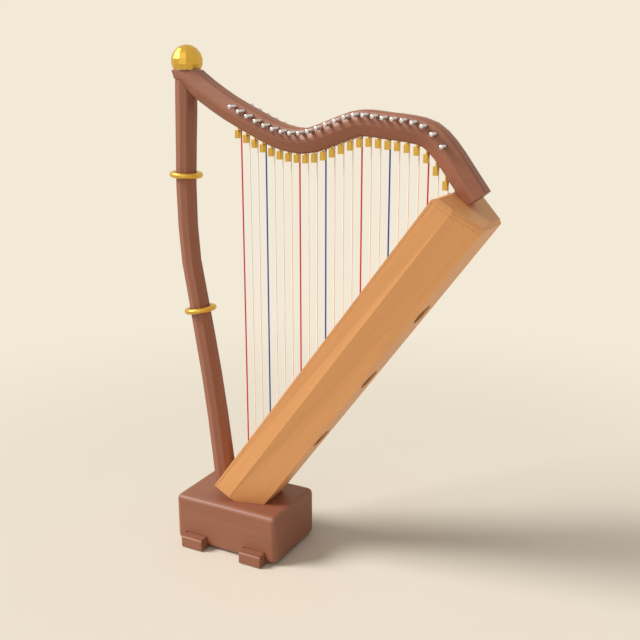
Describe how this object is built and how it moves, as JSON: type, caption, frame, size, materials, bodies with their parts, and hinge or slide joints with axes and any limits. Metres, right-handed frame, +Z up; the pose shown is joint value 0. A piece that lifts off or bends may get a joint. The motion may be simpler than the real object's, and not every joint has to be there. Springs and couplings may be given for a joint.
{
  "type": "lap harp",
  "caption": "Small floor-standing lap harp with slanted soundbox, bowed pillar, waved neck, turning pins and blade levers.",
  "frame": {"origin": "middle of the harp's length and width, on the floor under its feet", "axes": "+Z up, +X from the pillar towards the soundbox, strings in the plane Y = 0"},
  "size_m": [0.513, 0.159, 0.7865],
  "materials": {
    "dark_wood": "satin reddish brown",
    "pale_wood": "satin honey",
    "brass": "polished",
    "steel": "bright",
    "string_rib": "pale, with nylon strings"
  },
  "bodies": {
    "frame": {"base_block": "dark_wood", "finial": "brass", "foot_left": "dark_wood", "foot_right": "dark_wood", "neck": "dark_wood", "pillar": "dark_wood", "ring_lower": "brass", "ring_upper": "brass", "soundboard": "pale_wood", "soundbox_cap": "pale_wood", "soundbox_shell": "pale_wood", "strings_and_rib": "string_rib"},
    "pin_01": {"tuning_pin_01": "steel"},
    "lever_01": {"sharping_lever_01": "brass"},
    "pin_02": {"tuning_pin_02": "steel"},
    "lever_02": {"sharping_lever_02": "brass"},
    "pin_03": {"tuning_pin_03": "steel"},
    "lever_03": {"sharping_lever_03": "brass"},
    "pin_04": {"tuning_pin_04": "steel"},
    "lever_04": {"sharping_lever_04": "brass"},
    "pin_05": {"tuning_pin_05": "steel"},
    "lever_05": {"sharping_lever_05": "brass"},
    "pin_06": {"tuning_pin_06": "steel"},
    "lever_06": {"sharping_lever_06": "brass"},
    "pin_07": {"tuning_pin_07": "steel"},
    "lever_07": {"sharping_lever_07": "brass"},
    "pin_08": {"tuning_pin_08": "steel"},
    "lever_08": {"sharping_lever_08": "brass"},
    "pin_09": {"tuning_pin_09": "steel"},
    "lever_09": {"sharping_lever_09": "brass"},
    "pin_10": {"tuning_pin_10": "steel"},
    "lever_10": {"sharping_lever_10": "brass"},
    "pin_11": {"tuning_pin_11": "steel"},
    "lever_11": {"sharping_lever_11": "brass"},
    "pin_12": {"tuning_pin_12": "steel"},
    "lever_12": {"sharping_lever_12": "brass"},
    "pin_13": {"tuning_pin_13": "steel"},
    "lever_13": {"sharping_lever_13": "brass"},
    "pin_14": {"tuning_pin_14": "steel"},
    "lever_14": {"sharping_lever_14": "brass"},
    "pin_15": {"tuning_pin_15": "steel"},
    "lever_15": {"sharping_lever_15": "brass"},
    "pin_16": {"tuning_pin_16": "steel"},
    "lever_16": {"sharping_lever_16": "brass"},
    "pin_17": {"tuning_pin_17": "steel"},
    "lever_17": {"sharping_lever_17": "brass"},
    "pin_18": {"tuning_pin_18": "steel"},
    "lever_18": {"sharping_lever_18": "brass"},
    "pin_19": {"tuning_pin_19": "steel"},
    "lever_19": {"sharping_lever_19": "brass"},
    "pin_20": {"tuning_pin_20": "steel"},
    "lever_20": {"sharping_lever_20": "brass"},
    "pin_21": {"tuning_pin_21": "steel"},
    "lever_21": {"sharping_lever_21": "brass"},
    "pin_22": {"tuning_pin_22": "steel"},
    "lever_22": {"sharping_lever_22": "brass"},
    "pin_23": {"tuning_pin_23": "steel"},
    "lever_23": {"sharping_lever_23": "brass"},
    "pin_24": {"tuning_pin_24": "steel"},
    "lever_24": {"sharping_lever_24": "brass"}
  },
  "joints": [
    {"name": "pin_turn_01", "type": "hinge", "parent": "frame", "child": "pin_01", "pos_m": [-0.12845, 0, 0.69891], "axis": [0, 1, 0], "continuous": true},
    {"name": "lever_turn_01", "type": "hinge", "parent": "frame", "child": "lever_01", "pos_m": [-0.12845, -0.0074, 0.66558], "axis": [0, 0, -1], "range_deg": [0, 180]},
    {"name": "pin_turn_02", "type": "hinge", "parent": "frame", "child": "pin_02", "pos_m": [-0.11445, 0, 0.69246], "axis": [0, 1, 0], "continuous": true},
    {"name": "lever_turn_02", "type": "hinge", "parent": "frame", "child": "lever_02", "pos_m": [-0.11445, -0.0074, 0.65919], "axis": [0, 0, -1], "range_deg": [0, 180]},
    {"name": "pin_turn_03", "type": "hinge", "parent": "frame", "child": "pin_03", "pos_m": [-0.10045, 0, 0.68606], "axis": [0, 1, 0], "continuous": true},
    {"name": "lever_turn_03", "type": "hinge", "parent": "frame", "child": "lever_03", "pos_m": [-0.10045, -0.0074, 0.65275], "axis": [0, 0, -1], "range_deg": [0, 180]},
    {"name": "pin_turn_04", "type": "hinge", "parent": "frame", "child": "pin_04", "pos_m": [-0.08645, 0, 0.67966], "axis": [0, 1, 0], "continuous": true},
    {"name": "lever_turn_04", "type": "hinge", "parent": "frame", "child": "lever_04", "pos_m": [-0.08645, -0.0074, 0.64691], "axis": [0, 0, -1], "range_deg": [0, 180]},
    {"name": "pin_turn_05", "type": "hinge", "parent": "frame", "child": "pin_05", "pos_m": [-0.07245, 0, 0.67397], "axis": [0, 1, 0], "continuous": true},
    {"name": "lever_turn_05", "type": "hinge", "parent": "frame", "child": "lever_05", "pos_m": [-0.07245, -0.0074, 0.64186], "axis": [0, 0, -1], "range_deg": [0, 180]},
    {"name": "pin_turn_06", "type": "hinge", "parent": "frame", "child": "pin_06", "pos_m": [-0.05845, 0, 0.66947], "axis": [0, 1, 0], "continuous": true},
    {"name": "lever_turn_06", "type": "hinge", "parent": "frame", "child": "lever_06", "pos_m": [-0.05845, -0.0074, 0.6379], "axis": [0, 0, -1], "range_deg": [0, 180]},
    {"name": "pin_turn_07", "type": "hinge", "parent": "frame", "child": "pin_07", "pos_m": [-0.04445, 0, 0.66631], "axis": [0, 1, 0], "continuous": true},
    {"name": "lever_turn_07", "type": "hinge", "parent": "frame", "child": "lever_07", "pos_m": [-0.04445, -0.0074, 0.63548], "axis": [0, 0, -1], "range_deg": [0, 180]},
    {"name": "pin_turn_08", "type": "hinge", "parent": "frame", "child": "pin_08", "pos_m": [-0.03045, 0, 0.6647], "axis": [0, 1, 0], "continuous": true},
    {"name": "lever_turn_08", "type": "hinge", "parent": "frame", "child": "lever_08", "pos_m": [-0.03045, -0.0074, 0.63453], "axis": [0, 0, -1], "range_deg": [0, 180]},
    {"name": "pin_turn_09", "type": "hinge", "parent": "frame", "child": "pin_09", "pos_m": [-0.01645, 0, 0.6651], "axis": [0, 1, 0], "continuous": true},
    {"name": "lever_turn_09", "type": "hinge", "parent": "frame", "child": "lever_09", "pos_m": [-0.01645, -0.0074, 0.63433], "axis": [0, 0, -1], "range_deg": [0, 180]},
    {"name": "pin_turn_10", "type": "hinge", "parent": "frame", "child": "pin_10", "pos_m": [-0.00245, 0, 0.66797], "axis": [0, 1, 0], "continuous": true},
    {"name": "lever_turn_10", "type": "hinge", "parent": "frame", "child": "lever_10", "pos_m": [-0.00245, -0.0074, 0.63593], "axis": [0, 0, -1], "range_deg": [0, 180]},
    {"name": "pin_turn_11", "type": "hinge", "parent": "frame", "child": "pin_11", "pos_m": [0.01155, 0, 0.67261], "axis": [0, 1, 0], "continuous": true},
    {"name": "lever_turn_11", "type": "hinge", "parent": "frame", "child": "lever_11", "pos_m": [0.01155, -0.0074, 0.63953], "axis": [0, 0, -1], "range_deg": [0, 180]},
    {"name": "pin_turn_12", "type": "hinge", "parent": "frame", "child": "pin_12", "pos_m": [0.02555, 0, 0.6779], "axis": [0, 1, 0], "continuous": true},
    {"name": "lever_turn_12", "type": "hinge", "parent": "frame", "child": "lever_12", "pos_m": [0.02555, -0.0074, 0.64429], "axis": [0, 0, -1], "range_deg": [0, 180]},
    {"name": "pin_turn_13", "type": "hinge", "parent": "frame", "child": "pin_13", "pos_m": [0.03955, 0, 0.68314], "axis": [0, 1, 0], "continuous": true},
    {"name": "lever_turn_13", "type": "hinge", "parent": "frame", "child": "lever_13", "pos_m": [0.03955, -0.0074, 0.64957], "axis": [0, 0, -1], "range_deg": [0, 180]},
    {"name": "pin_turn_14", "type": "hinge", "parent": "frame", "child": "pin_14", "pos_m": [0.05355, 0, 0.68794], "axis": [0, 1, 0], "continuous": true},
    {"name": "lever_turn_14", "type": "hinge", "parent": "frame", "child": "lever_14", "pos_m": [0.05355, -0.0074, 0.65481], "axis": [0, 0, -1], "range_deg": [0, 180]},
    {"name": "pin_turn_15", "type": "hinge", "parent": "frame", "child": "pin_15", "pos_m": [0.06755, 0, 0.6912], "axis": [0, 1, 0], "continuous": true},
    {"name": "lever_turn_15", "type": "hinge", "parent": "frame", "child": "lever_15", "pos_m": [0.06755, -0.0074, 0.65957], "axis": [0, 0, -1], "range_deg": [0, 180]},
    {"name": "pin_turn_16", "type": "hinge", "parent": "frame", "child": "pin_16", "pos_m": [0.08155, 0, 0.69129], "axis": [0, 1, 0], "continuous": true},
    {"name": "lever_turn_16", "type": "hinge", "parent": "frame", "child": "lever_16", "pos_m": [0.08155, -0.0074, 0.66091], "axis": [0, 0, -1], "range_deg": [0, 180]},
    {"name": "pin_turn_17", "type": "hinge", "parent": "frame", "child": "pin_17", "pos_m": [0.09555, 0, 0.69001], "axis": [0, 1, 0], "continuous": true},
    {"name": "lever_turn_17", "type": "hinge", "parent": "frame", "child": "lever_17", "pos_m": [0.09555, -0.0074, 0.65945], "axis": [0, 0, -1], "range_deg": [0, 180]},
    {"name": "pin_turn_18", "type": "hinge", "parent": "frame", "child": "pin_18", "pos_m": [0.10955, 0, 0.68839], "axis": [0, 1, 0], "continuous": true},
    {"name": "lever_turn_18", "type": "hinge", "parent": "frame", "child": "lever_18", "pos_m": [0.10955, -0.0074, 0.65803], "axis": [0, 0, -1], "range_deg": [0, 180]},
    {"name": "pin_turn_19", "type": "hinge", "parent": "frame", "child": "pin_19", "pos_m": [0.12355, 0, 0.68726], "axis": [0, 1, 0], "continuous": true},
    {"name": "lever_turn_19", "type": "hinge", "parent": "frame", "child": "lever_19", "pos_m": [0.12355, -0.0074, 0.65675], "axis": [0, 0, -1], "range_deg": [0, 180]},
    {"name": "pin_turn_20", "type": "hinge", "parent": "frame", "child": "pin_20", "pos_m": [0.13755, 0, 0.68568], "axis": [0, 1, 0], "continuous": true},
    {"name": "lever_turn_20", "type": "hinge", "parent": "frame", "child": "lever_20", "pos_m": [0.13755, -0.0074, 0.65494], "axis": [0, 0, -1], "range_deg": [0, 180]},
    {"name": "pin_turn_21", "type": "hinge", "parent": "frame", "child": "pin_21", "pos_m": [0.15155, 0, 0.68337], "axis": [0, 1, 0], "continuous": true},
    {"name": "lever_turn_21", "type": "hinge", "parent": "frame", "child": "lever_21", "pos_m": [0.15155, -0.0074, 0.65178], "axis": [0, 0, -1], "range_deg": [0, 180]},
    {"name": "pin_turn_22", "type": "hinge", "parent": "frame", "child": "pin_22", "pos_m": [0.16555, 0, 0.67904], "axis": [0, 1, 0], "continuous": true},
    {"name": "lever_turn_22", "type": "hinge", "parent": "frame", "child": "lever_22", "pos_m": [0.16555, -0.0074, 0.64271], "axis": [0, 0, -1], "range_deg": [0, 180]},
    {"name": "pin_turn_23", "type": "hinge", "parent": "frame", "child": "pin_23", "pos_m": [0.17955, 0, 0.66928], "axis": [0, 1, 0], "continuous": true},
    {"name": "lever_turn_23", "type": "hinge", "parent": "frame", "child": "lever_23", "pos_m": [0.17955, -0.0074, 0.62701], "axis": [0, 0, -1], "range_deg": [0, 180]},
    {"name": "pin_turn_24", "type": "hinge", "parent": "frame", "child": "pin_24", "pos_m": [0.19355, 0, 0.65413], "axis": [0, 1, 0], "continuous": true},
    {"name": "lever_turn_24", "type": "hinge", "parent": "frame", "child": "lever_24", "pos_m": [0.19355, -0.0074, 0.60848], "axis": [0, 0, -1], "range_deg": [0, 180]}
  ]
}
